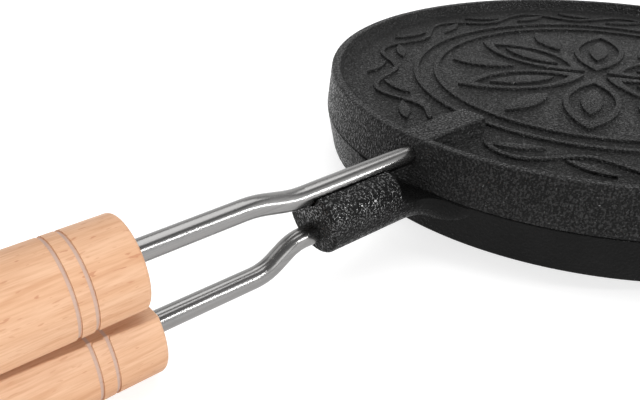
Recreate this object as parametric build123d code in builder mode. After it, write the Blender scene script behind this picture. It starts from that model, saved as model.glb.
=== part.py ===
from build123d import *
import os

# Round cast iron waffle iron: two dished plates on a far hinge, each with a steel rod and
# a beech grip. Millimetres, +Z up, handles towards -X. X stations and heights below are
# measured from the centre of the closed plates, where the two castings meet.

# Cast halves, the upper one a little deeper than the lower one
plate_radius = 100.0
upper_height = 14.6
upper_rim_radius = 98.3
lower_height = 14.1
lower_rim_radius = 97.7
rim_width = 3.0
recess_radius = 93.5
recess_floor = 10.5
land_radius = 91.5
cavity_radius = 90.0
cavity_depth = 5.2
half_gap = 0.06
meeting_edge = 0.35
rim_edge = 0.8
soft_edge = 0.7
recess_foot = 1.8
cavity_foot = 1.5

# Studs that press the pockets into the waffle, in four quarters about a cross
stud_pitch = 14.6
stud_base = 10.8
stud_corner = 1.4
stud_height = 3.0
stud_draft = 12.0
studs_per_row = 6
cross_width = 6.0
stud_limit = 87.0
least_stud = 30.0

# Steel rods: straight, cranked, straight again
rod_radius = 3.0
rod_fit = 0.05
upper_rod_low = 8.8
upper_rod_high = 11.7
upper_crank = (-142.5, -155.0)
upper_crank_radius = 30.0
lower_rod_high = -4.0
lower_rod_low = -10.0
lower_crank = (-142.8, -152.8)
lower_crank_radii = (12.0, 14.0)

# Rod socket on the upper plate: a rib across the recess, level with the rim
rib_end = -69.0
rib_half_width = 5.5
rib_draft = 4.0
rib_corner = 1.5
rib_foot = 1.0
height_pick = 0.1
socket_mouth = -97.0
stub_radius = 2.5
stub_end = -74.0

# Boss on the lower plate: round below, carries the lower rod and cradles the upper one
boss_front = -136.25
boss_front_lean = 0.15
boss_half_width = 10.0
boss_depth = 9.7
boss_top = 8.5
boss_shoulder = 6.2
boss_front_edge = 1.0
boss_back = -111.2
boss_back_foot = 3.5
boss_end = -106.0
web_top = -0.3
cradle_radius = 3.5

# Flare of the boss into the plate's wall: stations and half widths
boss_flare = (
    (-111.0, 10.0),
    (-107.0, 10.05),
    (-103.8, 10.5),
    (-101.2, 11.9),
    (-99.0, 16.0),
    (-96.4, 24.0),
)
lower_rod_end = -105.0

# Hinge at the far side, its axis on the meeting plane
hinge_reach = 108.0
knuckle_radius = 7.0
knuckle_width = 15.0
knuckle_gap = 0.5
knuckle_edge = 1.0
ear_width = 8.0
arm_root = 96.5
arm_clearance = 0.6
arm_depth = 12.0
pin_radius = 3.0
pin_fit = 0.08
pin_head_radius = 5.0
pin_head_height = 2.5
pin_tail = 6.5
pin_chamfer = 0.8
washer_radius = 6.0
washer_thickness = 1.2
wire_radius = 0.4
wire_offset = 0.43
wire_hole_radius = 0.9
split_pin_setback = 2.6

# Beech grips: round, with crowned flats that face each other
upper_grip_front = -190.3
lower_grip_front = -188.4
upper_grip_centre = 10.2
lower_grip_centre = -9.0
grip_length = 130.0
grip_radius = 12.1
grip_flat = 7.8
grip_crown = 1.3
grip_end_round = 1.3
grip_flat_round = 0.5
groove_setbacks = (12.4, 16.4, 112.6, 116.6)
groove_width = 1.0
groove_depth = 0.4

# Washer and domed nut that close each grip
end_washer_radius = 5.5
end_washer_thickness = 1.5
nut_across_flats = 10.0
nut_hex_height = 5.5
nut_height = 12.0
nut_dome_radius = 4.75
nut_bore_depth = 9.0
thread_length = 8.0

# Where the plates stand, so that the origin is under the middle of the whole iron
handle_reach = grip_length + end_washer_thickness + nut_height - upper_grip_front
plate_x = (handle_reach - hinge_reach - knuckle_radius) / 2
meeting_z = grip_radius - lower_grip_centre
plate_axis = Axis((plate_x, 0, meeting_z), (0, 0, 1))
side_view = Plane(origin=(plate_x, 0, meeting_z), x_dir=(1, 0, 0), z_dir=(0, -1, 0))


def level(height):
    """Horizontal plane centred on the plates."""
    return Plane.XY.offset(meeting_z + height).move(Location((plate_x, 0, 0)))


def station(x):
    """Upright plane across the iron that looks back from +X, with local x along +Y."""
    return Plane(origin=(plate_x + x, 0, meeting_z), x_dir=(0, 1, 0), z_dir=(1, 0, 0))


def across_hinge(y):
    """Plane square to the hinge axis and centred on it, facing +Y."""
    return Plane(
        origin=(plate_x + hinge_reach, y, meeting_z), x_dir=(-1, 0, 0), z_dir=(0, 1, 0)
    )


def casting_half(height, rim_radius):
    """Dished disc with its baking cavity and studs, above the meeting plane."""
    with BuildPart() as half:
        with BuildSketch(side_view):
            with BuildLine():
                contour = FilletPolyline(
                    (0, recess_floor),
                    (recess_radius, recess_floor),
                    (rim_radius - rim_width, height),
                    (rim_radius, height),
                    (plate_radius, half_gap),
                    (land_radius, half_gap),
                    (cavity_radius, cavity_depth),
                    (0, cavity_depth),
                    radius=(recess_foot, soft_edge, rim_edge, meeting_edge, soft_edge, cavity_foot),
                )
                Line(contour @ 1, contour @ 0)
            make_face()
        revolve(axis=plate_axis)
        quarter = cross_width / 2 + stud_base / 2 + stud_pitch * (studs_per_row - 1) / 2
        with BuildSketch(
            Plane(origin=level(cavity_depth).origin, x_dir=(1, 0, 0), z_dir=(0, 0, -1))
        ) as studs:
            with Locations(
                (quarter, quarter), (-quarter, quarter), (-quarter, -quarter), (quarter, -quarter)
            ):
                with GridLocations(stud_pitch, stud_pitch, studs_per_row, studs_per_row):
                    RectangleRounded(stud_base, stud_base, stud_corner)
            Circle(stud_limit, mode=Mode.INTERSECT)
            for sliver in studs.faces().filter_by(lambda face: face.area < least_stud):
                add(sliver, mode=Mode.SUBTRACT)
        extrude(amount=stud_height, taper=stud_draft)
    return half.part


def boss_underside(x, half_width):
    """Rounded lower outline of the boss at one station."""
    with BuildSketch(station(x)) as outline:
        with Locations((0, web_top)):
            Ellipse(half_width, boss_depth)
            Rectangle(2 * half_width, boss_depth, align=(Align.CENTER, Align.MAX), mode=Mode.INTERSECT)
    return outline.sketch


def knuckle_profile(y, side):
    """Hinge knuckle with the arm that roots it in a plate's wall, above or below."""
    with BuildSketch(side_view.offset(-y)) as profile:
        with Locations((hinge_reach, 0)):
            Circle(knuckle_radius)
        with BuildLine():
            Polyline(
                (arm_root, side * arm_clearance),
                (hinge_reach, side * arm_clearance),
                (hinge_reach, side * knuckle_radius),
                (arm_root, side * arm_depth),
                close=True,
            )
        make_face()
        with Locations((hinge_reach, 0)):
            Circle(pin_radius + pin_fit, mode=Mode.SUBTRACT)
    return profile.sketch


def round_knuckles(half):
    """Rounds the side edges of a casting's knuckles, clear of the bore and the wall."""
    sides = half.faces().filter_by(Axis.Y).filter_by(lambda face: face.center().X > plate_x + arm_root)
    outline = [
        edge
        for side in sides
        for edge in side.outer_wire().edges()
        if edge.center().X > plate_x + arm_root + knuckle_edge / 2
    ]
    fillet(outline, knuckle_edge)


ear_y = knuckle_width / 2 + knuckle_gap + ear_width / 2
ear_face = ear_y + ear_width / 2

boss_tip = boss_front - boss_front_lean * boss_top

with BuildPart() as lower_plate:
    for y in (-ear_y, ear_y):
        extrude(knuckle_profile(y, -1), amount=ear_width / 2, both=True)
    round_knuckles(lower_plate)
    extrude(boss_underside(boss_tip, boss_half_width), amount=boss_flare[0][0] - boss_tip)
    with BuildSketch(level(web_top)):
        with Locations((boss_tip, 0)):
            Rectangle(boss_end - boss_tip, 2 * boss_half_width, align=(Align.MIN, Align.CENTER))
    extrude(amount=boss_top - web_top)
    fillet(lower_plate.edges().filter_by(Axis.X).group_by(Axis.Z)[-1], boss_shoulder)
    # front leans outwards at the top, back stands clear of the upper plate's wall
    foot = web_top - boss_depth
    with BuildSketch(side_view):
        with BuildLine():
            Polyline(
                (boss_tip, boss_top),
                (boss_tip, foot),
                (boss_front - boss_front_lean * foot, foot),
                close=True,
            )
        make_face()
        with BuildLine():
            back = FilletPolyline(
                (boss_back, boss_top),
                (boss_back, web_top),
                (boss_end, web_top),
                radius=boss_back_foot,
            )
            Polyline(back @ 1, (boss_end, boss_top), back @ 0)
        make_face()
    extrude(amount=2 * boss_half_width, both=True, mode=Mode.SUBTRACT)
    fillet(lower_plate.faces().sort_by(Axis.X)[0].edges(), boss_front_edge)
    for x, half_width in boss_flare:
        add(boss_underside(x, half_width))
    loft()
    # cradle for the upper rod and bore for the lower one
    with BuildSketch(station(boss_tip)):
        with Locations((0, upper_rod_low)):
            Circle(cradle_radius)
    extrude(amount=boss_end - boss_tip, mode=Mode.SUBTRACT)
    with BuildSketch(station(boss_tip)):
        with Locations((0, lower_rod_high)):
            Circle(rod_radius + rod_fit)
    extrude(amount=lower_rod_end - boss_tip, mode=Mode.SUBTRACT)
    mirror(casting_half(lower_height, lower_rim_radius), about=level(0))
lower_plate.part.label = "lower_plate"

with BuildPart() as upper_plate:
    with BuildSketch(level(recess_floor - soft_edge)):
        with Locations((-upper_rim_radius + rim_width / 2, 0)):
            Rectangle(
                rib_end + upper_rim_radius - rim_width / 2,
                2 * rib_half_width,
                align=(Align.MIN, Align.CENTER),
            )
    extrude(amount=upper_height - recess_floor + soft_edge, taper=rib_draft)
    fillet(upper_plate.faces().sort_by(Axis.X)[-1].edges().filter_by(Axis.Y, reverse=True), rib_corner)
    fillet(upper_plate.faces().sort_by(Axis.Z)[-1].edges().sort_by(Axis.X)[1:], soft_edge)
    extrude(knuckle_profile(0, 1), amount=knuckle_width / 2, both=True)
    round_knuckles(upper_plate)
    add(casting_half(upper_height, upper_rim_radius))
    floor_height = meeting_z + recess_floor
    floor_edges = upper_plate.edges().filter_by_position(
        Axis.Z, floor_height - height_pick, floor_height + height_pick
    )
    fillet(floor_edges.filter_by(lambda edge: edge.center().X < plate_x + rib_end + rib_corner), rib_foot)
    with BuildSketch(station(-plate_radius)):
        with Locations((0, upper_rod_low)):
            Circle(rod_radius + rod_fit)
    extrude(amount=plate_radius + socket_mouth, mode=Mode.SUBTRACT)
    with BuildSketch(station(socket_mouth)):
        with Locations((0, upper_rod_low)):
            Circle(stub_radius + rod_fit)
    extrude(amount=stub_end - socket_mouth, mode=Mode.SUBTRACT)
upper_plate.part.label = "upper_plate"

with BuildPart() as hinge_pin:
    with BuildSketch(across_hinge(-ear_face - pin_head_height)):
        Circle(pin_head_radius)
    extrude(amount=pin_head_height)
    fillet(hinge_pin.edges().group_by(Axis.Y)[0], pin_chamfer)
    with BuildSketch(across_hinge(-ear_face)):
        Circle(pin_radius)
    extrude(amount=2 * ear_face + pin_tail)
    chamfer(hinge_pin.edges().group_by(Axis.Y)[-1], pin_chamfer)
    cross_y = ear_face + pin_tail - split_pin_setback
    with BuildSketch(Plane((plate_x + hinge_reach, cross_y, meeting_z))):
        Circle(wire_hole_radius)
    extrude(amount=2 * pin_radius, both=True, mode=Mode.SUBTRACT)
hinge_pin.part.label = "hinge_pin"

with BuildPart() as hinge_washer:
    with BuildSketch(across_hinge(ear_face)):
        Circle(washer_radius)
        Circle(pin_radius + pin_fit, mode=Mode.SUBTRACT)
    extrude(amount=washer_thickness)
hinge_washer.part.label = "hinge_washer"

# One wire folded into an eye, its two legs side by side through the pin and spread below
with BuildPart() as hinge_split_pin:
    with BuildLine(across_hinge(cross_y)) as split_wire:
        FilletPolyline(
            (-3.6, -6.6),
            (-wire_offset, -3.9),
            (-wire_offset, 3.9),
            (-2.3, 6.2),
            (0, 8.7),
            (2.3, 6.2),
            (wire_offset, 3.9),
            (wire_offset, -3.9),
            (3.6, -6.6),
            radius=(0.9, 0.9, 1.2, 1.6, 1.2, 0.9, 0.9),
        )
    with BuildSketch(Plane(origin=split_wire.line @ 0, z_dir=split_wire.line % 0)):
        Circle(wire_radius)
    sweep()
hinge_split_pin.part.label = "hinge_split_pin"


def rod_tail(front):
    """X station where a rod ends inside the domed nut."""
    return front - grip_length - end_washer_thickness - thread_length


with BuildPart() as upper_rod:
    with BuildLine(side_view) as upper_path:
        FilletPolyline(
            (socket_mouth, upper_rod_low),
            (upper_crank[0], upper_rod_low),
            (upper_crank[1], upper_rod_high),
            (rod_tail(upper_grip_front), upper_rod_high),
            radius=upper_crank_radius,
        )
    with BuildSketch(station(socket_mouth)):
        with Locations((0, upper_rod_low)):
            Circle(rod_radius)
    sweep()
    with BuildSketch(station(socket_mouth)):
        with Locations((0, upper_rod_low)):
            Circle(stub_radius)
    extrude(amount=stub_end - socket_mouth)
upper_rod.part.label = "upper_rod"

with BuildPart() as lower_rod:
    with BuildLine(side_view) as lower_path:
        FilletPolyline(
            (lower_rod_end, lower_rod_high),
            (lower_crank[0], lower_rod_high),
            (lower_crank[1], lower_rod_low),
            (rod_tail(lower_grip_front), lower_rod_low),
            radius=lower_crank_radii,
        )
    with BuildSketch(station(lower_rod_end)):
        with Locations((0, lower_rod_high)):
            Circle(rod_radius)
    sweep()
lower_rod.part.label = "lower_rod"


def make_grip(name, front, rod_height, centre, back):
    """Round grip with one flat; back is +1 where its round back faces up and -1 where it faces down."""
    far_side = centre - back * 2 * grip_radius
    flat_end = centre - back * grip_flat
    flat_middle = centre - back * (grip_flat + grip_crown)
    with BuildPart() as grip:
        with BuildSketch(station(front)):
            with Locations((0, centre)):
                Circle(grip_radius)
        extrude(amount=-grip_length)
        fillet(grip.edges(), grip_end_round)
        for setback in groove_setbacks:
            with BuildSketch(station(front - setback)):
                with Locations((0, centre)):
                    Circle(grip_radius + groove_depth)
                    Circle(grip_radius - groove_depth, mode=Mode.SUBTRACT)
            extrude(amount=-groove_width, mode=Mode.SUBTRACT)
        with BuildSketch(side_view):
            with BuildLine():
                ThreePointArc(
                    (front, flat_end),
                    (front - grip_length / 2, flat_middle),
                    (front - grip_length, flat_end),
                )
                Polyline(
                    (front - grip_length, flat_end),
                    (front - grip_length, far_side),
                    (front, far_side),
                    (front, flat_end),
                )
            make_face()
        extrude(amount=grip_radius, both=True, mode=Mode.SUBTRACT)
        flat = grip.faces().sort_by(Axis.Z)[0 if back > 0 else -1]
        fillet(flat.edges(), grip_flat_round)
        with BuildSketch(station(front)):
            with Locations((0, rod_height)):
                Circle(rod_radius + rod_fit)
        extrude(amount=-grip_length, mode=Mode.SUBTRACT)
    grip.part.label = name
    return grip


def make_end_washer(name, front, rod_height):
    """Flat washer between the grip's rear end and the nut."""
    with BuildPart() as washer:
        with BuildSketch(station(front - grip_length)):
            with Locations((0, rod_height)):
                Circle(end_washer_radius)
                Circle(rod_radius + rod_fit, mode=Mode.SUBTRACT)
        extrude(amount=-end_washer_thickness)
    washer.part.label = name
    return washer


def make_cap_nut(name, front, rod_height):
    """Domed hexagon nut on the threaded end of a rod."""
    seat = front - grip_length - end_washer_thickness
    nut_axis = Axis((plate_x, 0, meeting_z + rod_height), (1, 0, 0))
    with BuildPart() as nut:
        with BuildSketch(station(seat)):
            with Locations((0, rod_height)):
                RegularPolygon(nut_across_flats / 2, 6, major_radius=False)
        extrude(amount=-nut_hex_height)
        with BuildSketch(side_view):
            with BuildLine():
                Polyline(
                    (seat - nut_height, rod_height),
                    (seat - nut_hex_height, rod_height),
                    (seat - nut_hex_height, rod_height + nut_dome_radius),
                    (seat - nut_height + nut_dome_radius, rod_height + nut_dome_radius),
                )
                ThreePointArc(
                    (seat - nut_height + nut_dome_radius, rod_height + nut_dome_radius),
                    (
                        seat - nut_height + nut_dome_radius * (1 - 0.5**0.5),
                        rod_height + nut_dome_radius * 0.5**0.5,
                    ),
                    (seat - nut_height, rod_height),
                )
            make_face()
        revolve(axis=nut_axis)
        with BuildSketch(station(seat)):
            with Locations((0, rod_height)):
                Circle(rod_radius + rod_fit)
        extrude(amount=-nut_bore_depth, mode=Mode.SUBTRACT)
    nut.part.label = name
    return nut


upper_grip = make_grip("upper_grip", upper_grip_front, upper_rod_high, upper_grip_centre, 1)
lower_grip = make_grip("lower_grip", lower_grip_front, lower_rod_low, lower_grip_centre, -1)
upper_grip_washer = make_end_washer("upper_grip_washer", upper_grip_front, upper_rod_high)
lower_grip_washer = make_end_washer("lower_grip_washer", lower_grip_front, lower_rod_low)
upper_cap_nut = make_cap_nut("upper_cap_nut", upper_grip_front, upper_rod_high)
lower_cap_nut = make_cap_nut("lower_cap_nut", lower_grip_front, lower_rod_low)

os.makedirs("parts", exist_ok=True)
export_step(lower_plate.part, "parts/lower_plate.step")
export_step(upper_plate.part, "parts/upper_plate.step")
export_step(hinge_pin.part, "parts/hinge_pin.step")
export_step(hinge_washer.part, "parts/hinge_washer.step")
export_step(hinge_split_pin.part, "parts/hinge_split_pin.step")
export_step(upper_rod.part, "parts/upper_rod.step")
export_step(lower_rod.part, "parts/lower_rod.step")
export_step(upper_grip.part, "parts/upper_grip.step")
export_step(lower_grip.part, "parts/lower_grip.step")
export_step(upper_grip_washer.part, "parts/upper_grip_washer.step")
export_step(lower_grip_washer.part, "parts/lower_grip_washer.step")
export_step(upper_cap_nut.part, "parts/upper_cap_nut.step")
export_step(lower_cap_nut.part, "parts/lower_cap_nut.step")
print("plate centre x", plate_x, "meeting plane z", meeting_z)
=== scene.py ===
import bpy
import math
from mathutils import Matrix, Vector


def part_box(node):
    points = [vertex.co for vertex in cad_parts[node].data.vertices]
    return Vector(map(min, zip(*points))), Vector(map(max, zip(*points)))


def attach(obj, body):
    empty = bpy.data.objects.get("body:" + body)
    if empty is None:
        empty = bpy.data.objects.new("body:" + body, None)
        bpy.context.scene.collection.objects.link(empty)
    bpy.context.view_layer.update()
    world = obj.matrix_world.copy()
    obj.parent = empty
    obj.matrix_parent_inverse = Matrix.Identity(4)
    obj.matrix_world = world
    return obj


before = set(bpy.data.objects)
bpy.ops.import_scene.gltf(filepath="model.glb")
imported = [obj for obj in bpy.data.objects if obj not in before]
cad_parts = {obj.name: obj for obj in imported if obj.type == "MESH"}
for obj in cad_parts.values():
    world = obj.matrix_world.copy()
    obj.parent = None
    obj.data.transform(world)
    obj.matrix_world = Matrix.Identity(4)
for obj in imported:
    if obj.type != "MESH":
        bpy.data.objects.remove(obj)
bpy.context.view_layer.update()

# Places in metres; all but PLATES and the grips' fronts are measured from PLATES
PLATES = Vector((0.1094, 0.0, 0.0211))
UPPER_GRIP_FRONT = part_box("upper_grip")[1][0]
LOWER_GRIP_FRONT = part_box("lower_grip")[1][0]
TOP_FLOOR = 0.0105
BOSS_FADE = (-0.111, -0.104)
BOSS_TOP_FADE = (-0.004, 0.002)

# Cut rings of the grips: distance of each behind the grip's front, and width
GROOVE_SETBACKS = (0.0124, 0.0164, 0.1126, 0.1166)
GROOVE_WIDTH = 0.0010

# Colours of the finishes
BARE_IRON = 0.09
PALE_BEECH = (0.78, 0.490, 0.315, 1.0)
WARM_BEECH = (0.70, 0.402, 0.235, 1.0)
STREAK_BEECH = (0.56, 0.275, 0.140, 1.0)
FLECK_BEECH = (0.47, 0.17, 0.075, 1.0)
# Greyer tone of the cut rings: partly the cut wood's own, partly painted shade in the grooves
CUT_AND_SHADED_BEECH = (0.52, 0.41, 0.37, 1.0)

# Camera in radians, metres and pixels
CAMERA_AZIMUTH = 4.0269
CAMERA_ELEVATION = 0.5127
CAMERA_ROLL = -0.0065
CAMERA_DISTANCE = 0.21253
CAMERA_TARGET = PLATES + Vector((-0.12684, 0.00771, 0.0))
FOCAL_PIXELS = 729.49
IMAGE_WIDTH = 640
SENSOR_WIDTH = 36.0
TOWARDS_CAMERA = Vector((
    math.cos(CAMERA_ELEVATION) * math.cos(CAMERA_AZIMUTH),
    math.cos(CAMERA_ELEVATION) * math.sin(CAMERA_AZIMUTH),
    math.sin(CAMERA_ELEVATION),
))

# Studio: brightness from 0 to 1, and where one part of the surroundings gives way to the next
FLOOR_SIZE = 6.0
FLOOR_GREY = 0.60
FLOOR_GLOW = 0.7
CEILING_LEVEL = 0.25
CEILING_EDGE = (0.48, 0.75)
ROOM_LEVEL = 0.25
ROOM_EDGE = (0.45, 0.75)
FILL_LEVEL = 0.7


class Wire:
    """One output in a node tree. Sums and products of wires add Math nodes."""

    def __init__(self, tree, socket):
        self.tree = tree
        self.socket = socket

    def _math(self, operation, first, second):
        return self.tree.node("ShaderNodeMath", {"operation": operation}, {0: first, 1: second})

    def __add__(self, other):
        return self._math("ADD", self, other)

    def __radd__(self, other):
        return self._math("ADD", other, self)

    def __sub__(self, other):
        return self._math("SUBTRACT", self, other)

    def __rsub__(self, other):
        return self._math("SUBTRACT", other, self)

    def __mul__(self, other):
        return self._math("MULTIPLY", self, other)

    def __rmul__(self, other):
        return self._math("MULTIPLY", other, self)

    def output(self, name):
        """Another output of the same node."""
        return Wire(self.tree, self.socket.node.outputs[name])


class NodeTree:
    """A tree of nodes that is built one node at a time."""

    def __init__(self, owner, shader):
        owner.use_nodes = True
        self.tree = owner.node_tree
        self.shader = self.tree.nodes[shader]

    def node(self, kind, settings=None, sockets=None):
        """Adds a node, sets it up, then feeds its sockets with numbers, colours or wires."""
        made = self.tree.nodes.new(kind)
        for name, value in (settings or {}).items():
            setattr(made, name, value)
        for name, value in (sockets or {}).items():
            self.feed(made.inputs[name], value)
        return Wire(self, next(out for out in made.outputs if out.enabled))

    def feed(self, socket, value):
        """Links a wire to a socket, or sets the socket's own value."""
        if isinstance(value, Wire):
            self.tree.links.new(value.socket, socket)
        else:
            socket.default_value = value

    def surface(self, **sockets):
        """Feeds the shader's sockets, with underscores for the spaces in their names."""
        for name, value in sockets.items():
            self.feed(self.shader.inputs[name.replace("_", " ")], value)

    def ramp(self, value, low, high, to_low=0.0, to_high=1.0):
        """Value carried from one span to another and held at its ends."""
        return self.node(
            "ShaderNodeMapRange",
            {"clamp": True, "interpolation_type": "SMOOTHSTEP"},
            {"Value": value, "From Min": low, "From Max": high, "To Min": to_low, "To Max": to_high},
        )

    def blend(self, factor, first, second):
        """Colour between two colours, which are the node's sockets 6 and 7."""
        return self.node(
            "ShaderNodeMix",
            {"data_type": "RGBA"},
            {"Factor": factor, 6: first, 7: second},
        )

    def larger(self, first, second):
        """The larger of two values."""
        return self.node("ShaderNodeMath", {"operation": "MAXIMUM"}, {0: first, 1: second})

    def seen_or_reflected(self):
        """1 where a ray comes from the camera, a reflection or through glass, and 0 elsewhere."""
        rays = self.node("ShaderNodeLightPath")
        reflected = self.larger(rays.output("Is Glossy Ray"), rays.output("Is Transmission Ray"))
        return self.larger(rays.output("Is Camera Ray"), reflected)


class Finish(NodeTree):
    """A node-based material named for what the surface is made of."""

    def __init__(self, name):
        self.material = bpy.data.materials.new(name)
        super().__init__(self.material, "Principled BSDF")
        self.place = self.node("ShaderNodeTexCoord").output("Object")

    def station(self, axis):
        """The surface's place along one axis."""
        return self.node("ShaderNodeSeparateXYZ", None, {"Vector": self.place}).output(axis)

    def noise(self, scale, detail, roughness, place=None):
        """Soft noise between 0 and 1; scale is in grains per metre."""
        return self.node(
            "ShaderNodeTexNoise",
            None,
            {"Vector": place or self.place, "Scale": scale, "Detail": detail, "Roughness": roughness},
        )

    def grain(self, along, across, detail, roughness, shift=(0.0, 0.0, 0.0)):
        """Noise drawn out along the handles; along and across are in grains per metre."""
        place = self.node(
            "ShaderNodeMapping",
            {"vector_type": "POINT"},
            {"Vector": self.place, "Location": shift, "Scale": (along, across, across)},
        )
        return self.noise(1.0, detail, roughness, place)

    def cells(self, scale):
        """Distance to the nearest of many scattered points; scale is in cells per metre."""
        return self.node("ShaderNodeTexVoronoi", None, {"Vector": self.place, "Scale": scale})

    def bump(self, height, distance, strength=1.0):
        """Surface normal disturbed by a height."""
        return self.node(
            "ShaderNodeBump", None, {"Height": height, "Distance": distance, "Strength": strength}
        )


def grey(level, warm=0.0):
    """Neutral colour, a little warmer or cooler."""
    return (level * (1 + warm), level, level * (1 - warm), 1.0)


# Finishes
def seasoned_iron(name, black, boss_grain, plate_grain, plate_wear):
    """Black seasoned cast iron: the pebbled skin of a sand mould, glazed smooth in specks.

    Black is the darkest grey. The grain is a depth in metres, on the handle boss and on
    the plate. The wear is how far bare iron shows in the plate's specks, 1 as on the boss.
    """
    iron = Finish(name)
    pebbles = iron.cells(1150.0)
    skin = iron.noise(2100.0, detail=2.0, roughness=0.6)
    lumps = iron.noise(480.0, detail=2.0, roughness=0.5)
    patches = iron.noise(45.0, detail=3.0, roughness=0.6)
    height = (1 - iron.ramp(pebbles, 0.1, 0.8)) * 0.7 + skin * 0.12 + lumps * 0.35
    glazed = iron.ramp(iron.noise(1600.0, detail=1.0, roughness=0.5), 0.47, 0.58)
    boss_start, boss_end = (PLATES.x + station for station in BOSS_FADE)
    top_start, top_end = (PLATES.z + station for station in BOSS_TOP_FADE)
    on_boss = iron.ramp(iron.station("X"), boss_start, boss_end, to_low=1.0, to_high=0.0)
    on_boss_top = on_boss * iron.ramp(iron.station("Z"), top_start, top_end)
    worn = iron.ramp(glazed, 0.35, 1.0) * iron.ramp(on_boss_top, 0.0, 1.0, plate_wear, 1.0)
    coat = iron.blend(iron.ramp(patches, 0.35, 0.7), grey(black), grey(1.6 * black, warm=0.004))
    iron.surface(
        Base_Color=iron.blend(worn, coat, grey(BARE_IRON)),
        Metallic=worn,
        Roughness=0.52 + 0.10 * patches - 0.42 * glazed,
        Specular_IOR_Level=0.08,
        Normal=iron.bump(height, iron.ramp(on_boss, 0.0, 1.0, plate_grain, boss_grain)),
    )
    return iron.material


def drawn_steel():
    """Stainless rod with fine lines drawn along it."""
    steel = Finish("drawn_stainless_steel")
    lines = steel.grain(14.0, 3600.0, detail=3.0, roughness=0.65)
    bands = steel.grain(5.0, 700.0, detail=1.0, roughness=0.5)
    smudges = steel.noise(90.0, detail=3.0, roughness=0.6)
    shade = 0.5 * lines + 0.3 * bands + 0.2 * smudges
    steel.surface(
        Base_Color=steel.blend(shade, grey(0.15, warm=0.015), grey(0.36, warm=0.015)),
        Metallic=1.0,
        Roughness=0.18 + 0.05 * lines + 0.04 * smudges,
        Normal=steel.bump(lines, distance=0.000012, strength=0.08),
    )
    return steel.material


def turned_steel():
    """Plain satin steel of the small fasteners."""
    steel = Finish("satin_steel")
    scratches = steel.noise(2400.0, detail=3.0, roughness=0.6)
    steel.surface(
        Base_Color=steel.blend(scratches, grey(0.26, warm=0.01), grey(0.46, warm=0.01)),
        Metallic=1.0,
        Roughness=0.24 + 0.14 * scratches,
        Normal=steel.bump(scratches, distance=0.00002, strength=0.3),
    )
    return steel.material


def shaded_cut_rings(beech, grip_front):
    """1 inside the grip's four cut rings and 0 elsewhere."""
    along = beech.station("X")
    rings = 0.0
    for setback in GROOVE_SETBACKS:
        middle = grip_front - setback - GROOVE_WIDTH / 2
        away = beech.node("ShaderNodeMath", {"operation": "ABSOLUTE"}, {0: along - middle})
        rings = rings + beech.ramp(away, GROOVE_WIDTH / 4, GROOVE_WIDTH / 2, to_low=1.0, to_high=0.0)
    return rings


def sanded_beech(name, grip_front, shift):
    """Pale pinkish beech: fine fibres, soft year bands, short reddish flecks, and greyer cut grooves,
    partly the cut wood's tone and partly painted shade.
    """
    beech = Finish(name)
    fibres = beech.grain(110.0, 2100.0, detail=3.0, roughness=0.6, shift=shift)
    streaks = beech.grain(60.0, 640.0, detail=2.0, roughness=0.55, shift=shift)
    years = beech.grain(7.0, 150.0, detail=2.0, roughness=0.5, shift=shift)
    specks = beech.grain(330.0, 1500.0, detail=1.0, roughness=0.4, shift=shift)
    flecks = beech.ramp(specks, 0.645, 0.72) * beech.ramp(years, 0.35, 0.6, 0.35, 1.0)
    wood = beech.blend(beech.ramp(years, 0.3, 0.7), PALE_BEECH, WARM_BEECH)
    wood = beech.blend(beech.ramp(streaks, 0.48, 0.75, 0.0, 0.5), wood, STREAK_BEECH)
    wood = beech.blend(beech.ramp(fibres, 0.35, 0.75, 0.0, 0.45), wood, STREAK_BEECH)
    wood = beech.blend(0.60 * flecks, wood, FLECK_BEECH)
    beech.surface(
        # The cut rings get a greyer tone, partly the cut wood's own and partly painted shade in the
        # grooves
        Base_Color=beech.blend(0.75 * shaded_cut_rings(beech, grip_front), wood, CUT_AND_SHADED_BEECH),
        Roughness=0.40 + 0.12 * fibres + 0.08 * streaks,
        Specular_IOR_Level=0.30,
        Normal=beech.bump(fibres - 0.5 * flecks, distance=0.00005, strength=0.3),
    )
    return beech.material


upper_iron = seasoned_iron(
    "seasoned_cast_iron_upper", black=0.0105, boss_grain=0.00040, plate_grain=0.00045, plate_wear=0.32
)
lower_iron = seasoned_iron(
    "seasoned_cast_iron_lower", black=0.0055, boss_grain=0.00030, plate_grain=0.00010, plate_wear=0.0
)
rod_steel = drawn_steel()
steel = turned_steel()
upper_beech = sanded_beech("sanded_beech_upper", UPPER_GRIP_FRONT, shift=(0.0, 0.0, 0.0))
lower_beech = sanded_beech("sanded_beech_lower", LOWER_GRIP_FRONT, shift=(3.1, 7.2, 5.7))

finishes = {
    "lower_plate": lower_iron,
    "upper_plate": upper_iron,
    "hinge_pin": steel,
    "hinge_washer": steel,
    "hinge_split_pin": steel,
    "lower_rod": rod_steel,
    "upper_rod": rod_steel,
    "lower_grip": lower_beech,
    "upper_grip": upper_beech,
    "lower_grip_washer": steel,
    "upper_grip_washer": steel,
    "lower_cap_nut": steel,
    "upper_cap_nut": steel,
}
for name, material in finishes.items():
    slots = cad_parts[name].data.materials
    slots.clear()
    slots.append(material)


# Cast relief on the upper plate's floor
RELIEF_HEIGHT = 0.0009
RELIEF_SUNK = 0.0004
RELIEF_EDGE = 0.00022
MERGE_DISTANCE = 0.000002
SMOOTH_ANGLE = math.radians(30.0)
BAND = 0.0019
RING_RADII = (0.0580, 0.0655)
RING_STEPS = 180

# Rosette, with the start radius, end radius and half width of each pointed oval
ROSETTE_RADIUS = 0.0535
PETALS = 6
PETAL_HALF_WIDTH = 0.0095
PETAL = (0.0045, ROSETTE_RADIUS, PETAL_HALF_WIDTH)
PETAL_HOLLOW = (0.0105, ROSETTE_RADIUS - 0.006, PETAL_HALF_WIDTH - BAND)
PETAL_RIB = (0.0165, ROSETTE_RADIUS - 0.012, PETAL_HALF_WIDTH * 0.38)
DART = (0.0300, ROSETTE_RADIUS, PETAL_HALF_WIDTH * 0.42)
PETAL_STEPS = 14

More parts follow.
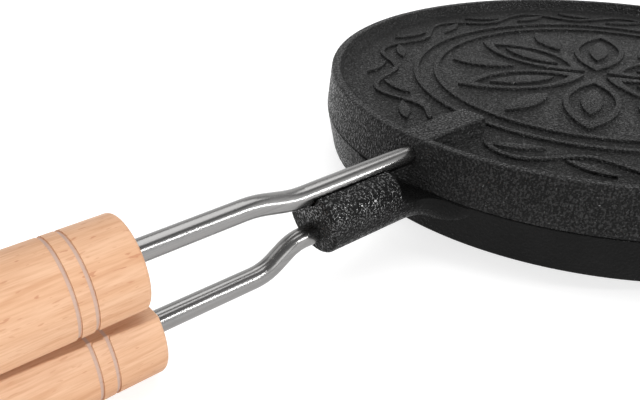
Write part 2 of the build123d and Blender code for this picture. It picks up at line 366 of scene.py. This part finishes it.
# Vine, whose leaves sit inside its bays by a share of its swing
VINE_RADIUS = 0.0787
VINE_SWING = 0.0046
VINE_WAVES = 11
VINE_STEPS = VINE_WAVES * 20
VINE_GAP = math.radians(8.0)
LEAF_HALF_LENGTH = 0.0078
LEAF_HALF_WIDTH = 0.0019
LEAF_SLANT = math.radians(24.0)
LEAF_INSET = 0.62
LEAF_STEPS = 8


def start_clean():
    """Leaves nothing selected, so that an operator acts on the next piece alone."""
    if bpy.context.object and bpy.context.object.mode != "OBJECT":
        bpy.ops.object.mode_set(mode="OBJECT")
    bpy.ops.object.select_all(action="DESELECT")


def polar(radius, angle):
    """Point at a radius and an angle."""
    return (radius * math.cos(angle), radius * math.sin(angle))


def circle(radius):
    """Points round the plates' centre."""
    return [polar(radius, 2 * math.pi * step / RING_STEPS) for step in range(RING_STEPS)]


def pointed_oval(start, end, half_width, turn, steps=PETAL_STEPS):
    """Pointed oval between two radii along one direction, from two arcs."""
    half = (end - start) / 2
    bulge = (half * half - half_width * half_width) / (2 * half_width)
    sweep = math.asin(half / (bulge + half_width))
    outline = []
    for side in (1, -1):
        for step in range(steps):
            angle = sweep * (2 * step / steps - 1) * side
            along = start + half + (bulge + half_width) * math.sin(angle)
            across = side * ((bulge + half_width) * math.cos(angle) - bulge)
            outline.append((
                along * math.cos(turn) - across * math.sin(turn),
                along * math.sin(turn) + across * math.cos(turn),
            ))
    return outline


def vine_place(part):
    """Angle and radius of the vine's middle, from 0 at one end to 1 at the other."""
    angle = -math.pi + VINE_GAP + (2 * math.pi - 2 * VINE_GAP) * part
    return angle, VINE_RADIUS + VINE_SWING * math.sin(2 * math.pi * VINE_WAVES * part)


def vine():
    """Outline of the waving stem, tapered at both ends."""
    middle = []
    for step in range(VINE_STEPS + 1):
        angle, radius = vine_place(step / VINE_STEPS)
        middle.append(Vector(polar(radius, angle)))
    outer = []
    inner = []
    for step in range(1, VINE_STEPS):
        ahead = (middle[step + 1] - middle[step - 1]).normalized()
        aside = Vector((ahead.y, -ahead.x)) * BAND / 2
        outer.append(tuple(middle[step] + aside))
        inner.append(tuple(middle[step] - aside))
    return [tuple(middle[0])] + outer + [tuple(middle[-1])] + inner[::-1]


def leaf(part, side):
    """Almond-shaped leaf that fills one bay of the vine, slanted along it."""
    angle, _ = vine_place(part)
    seat = Vector(polar(VINE_RADIUS - side * VINE_SWING * LEAF_INSET, angle))
    turn = angle + math.pi / 2 + side * LEAF_SLANT
    outline = pointed_oval(-LEAF_HALF_LENGTH, LEAF_HALF_LENGTH, LEAF_HALF_WIDTH, turn, LEAF_STEPS)
    return [tuple(seat + Vector(point)) for point in outline]


def raised(outlines):
    """Flat-topped raised shape with softened edges on the upper plate's floor."""
    start_clean()
    route = bpy.data.curves.new("relief_shape", "CURVE")
    route.dimensions = "2D"
    route.fill_mode = "BOTH"
    for outline in outlines:
        spline = route.splines.new("POLY")
        spline.points.add(len(outline) - 1)
        for point, (x, y) in zip(spline.points, outline):
            point.co = (x, y, 0.0, 1.0)
        spline.use_cyclic_u = True
    thickness = RELIEF_HEIGHT + RELIEF_SUNK
    route.bevel_depth = RELIEF_EDGE
    route.bevel_resolution = 1
    route.offset = -RELIEF_EDGE
    route.extrude = thickness / 2 - RELIEF_EDGE
    shape = bpy.data.objects.new("relief_shape", route)
    bpy.context.scene.collection.objects.link(shape)
    shape.select_set(True)
    bpy.context.view_layer.objects.active = shape
    bpy.ops.object.convert(target="MESH")
    shape = bpy.context.object
    shape.location = PLATES + Vector((0.0, 0.0, TOP_FLOOR - RELIEF_SUNK + thickness / 2))
    bpy.ops.object.transform_apply(location=True, rotation=True, scale=True)
    bpy.ops.object.mode_set(mode="EDIT")
    bpy.ops.mesh.select_all(action="SELECT")
    bpy.ops.mesh.remove_doubles(threshold=MERGE_DISTANCE)
    bpy.ops.mesh.normals_make_consistent(inside=False)
    bpy.ops.object.mode_set(mode="OBJECT")
    return shape


def join(pieces, name):
    """Makes one mesh of several."""
    start_clean()
    for piece in pieces:
        piece.select_set(True)
    bpy.context.view_layer.objects.active = pieces[0]
    bpy.ops.object.join()
    joined = bpy.context.object
    joined.name = name
    joined.data.name = name
    return joined


def relief():
    """Traditional six-petal rosette inside two rings, with a leafy vine round them."""
    shapes = [[circle(radius), circle(radius + BAND)] for radius in RING_RADII]
    petal_turn = 2 * math.pi / PETALS
    for petal in range(PETALS):
        turn = petal_turn * (petal + 0.5)
        shapes.append([pointed_oval(*PETAL, turn), pointed_oval(*PETAL_HOLLOW, turn)])
        shapes.append([pointed_oval(*PETAL_RIB, turn)])
        shapes.append([pointed_oval(*DART, turn + petal_turn / 2)])
    shapes.append([vine()])
    bays = 2 * VINE_WAVES
    for bay in range(bays):
        shapes.append([leaf((bay + 0.5) / bays, 1 if bay % 2 == 0 else -1)])
    made = join([raised(outlines) for outlines in shapes], "upper_plate_relief")
    made.data.materials.clear()
    made.data.materials.append(upper_iron)
    bpy.ops.object.shade_smooth_by_angle(angle=SMOOTH_ANGLE)
    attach(made, "upper_half")


relief()


# Studio
def studio_floor():
    """Wide pale floor under the iron, white to the eye, which keeps the iron's shadow."""
    start_clean()
    bpy.ops.mesh.primitive_plane_add(size=FLOOR_SIZE, location=(0.0, 0.0, 0.0))
    floor = bpy.context.object
    floor.name = "studio_floor"
    paper = Finish("white_paper")
    paper.surface(
        Base_Color=grey(FLOOR_GREY),
        Roughness=0.9,
        Specular_IOR_Level=0.0,
        Emission_Color=paper.blend(paper.seen_or_reflected(), grey(0.0), grey(1.0)),
        Emission_Strength=FLOOR_GLOW,
    )
    floor.data.materials.append(paper.material)


def studio_lamp(name, place, target, size, power, turn=0.0):
    """Soft rectangular lamp that looks at a point, turned about its own axis."""
    lamp = bpy.data.lights.new(name, "AREA")
    lamp.shape = "RECTANGLE"
    lamp.size, lamp.size_y = size
    lamp.energy = power
    holder = bpy.data.objects.new(name, lamp)
    bpy.context.scene.collection.objects.link(holder)
    aim = Vector(place) - Vector(target)
    facing = aim.to_track_quat("Z", "Y").to_matrix().to_4x4()
    holder.matrix_world = Matrix.Translation(place) @ facing @ Matrix.Rotation(turn, 4, "Z")


def studio_lamps():
    """Three broad soft lamps, a strip that draws the rods' highlight and a small one for the grain."""
    middle = (0.0, 0.0, 0.02)
    studio_lamp("left_lamp", (-1.1, 0.6, 1.15), middle, size=(1.5, 1.5), power=7.0)
    studio_lamp("top_lamp", (0.4, 0.2, 1.6), middle, size=(1.4, 1.4), power=14.0)
    studio_lamp("front_lamp", (-0.25, -1.45, 0.40), (-0.05, 0.0, 0.02), size=(0.9, 0.5), power=3.0)
    studio_lamp(
        "strip_lamp",
        (0.54, -0.90, 0.33),
        (-0.03, 0.0, 0.03),
        size=(0.85, 0.045),
        power=4.5,
        turn=math.radians(-46.0),
    )
    studio_lamp("side_lamp", (-0.57, -1.02, 0.32), (0.034, -0.065, 0.02), size=(0.08, 0.08), power=5.0)


def studio_world():
    """White backdrop under a darker ceiling, with a dim room behind the camera."""
    world = bpy.data.worlds.new("studio_world")
    bpy.context.scene.world = world
    sky = NodeTree(world, "Background")
    direction = sky.node("ShaderNodeTexCoord").output("Generated")
    height = sky.node("ShaderNodeSeparateXYZ", None, {"Vector": direction}).output("Z")
    towards_room = sky.node(
        "ShaderNodeVectorMath", {"operation": "DOT_PRODUCT"}, {0: direction, 1: TOWARDS_CAMERA}
    ).output("Value")
    backdrop = sky.blend(sky.ramp(height, *CEILING_EDGE), grey(1.0), grey(CEILING_LEVEL))
    sky.surface(
        Color=sky.blend(sky.ramp(towards_room, *ROOM_EDGE), backdrop, grey(ROOM_LEVEL)),
        Strength=FILL_LEVEL + (1 - FILL_LEVEL) * sky.seen_or_reflected(),
    )


def camera():
    """Close view over the grips' front ends towards the boss and the plates."""
    right = (-TOWARDS_CAMERA).cross(Vector((0.0, 0.0, 1.0))).normalized()
    up = right.cross(-TOWARDS_CAMERA)
    turned_right = math.cos(CAMERA_ROLL) * right + math.sin(CAMERA_ROLL) * up
    turned_up = math.cos(CAMERA_ROLL) * up - math.sin(CAMERA_ROLL) * right
    optics = bpy.data.cameras.new("camera")
    optics.sensor_width = SENSOR_WIDTH
    optics.lens = FOCAL_PIXELS * SENSOR_WIDTH / IMAGE_WIDTH
    optics.clip_start = 0.01
    holder = bpy.data.objects.new("camera", optics)
    bpy.context.scene.collection.objects.link(holder)
    pose = Matrix((turned_right, turned_up, TOWARDS_CAMERA)).transposed().to_4x4()
    pose.translation = CAMERA_TARGET + TOWARDS_CAMERA * CAMERA_DISTANCE
    holder.matrix_world = pose
    bpy.context.scene.camera = holder


studio_floor()
studio_world()
studio_lamps()
camera()
bpy.context.scene.view_settings.view_transform = "Standard"
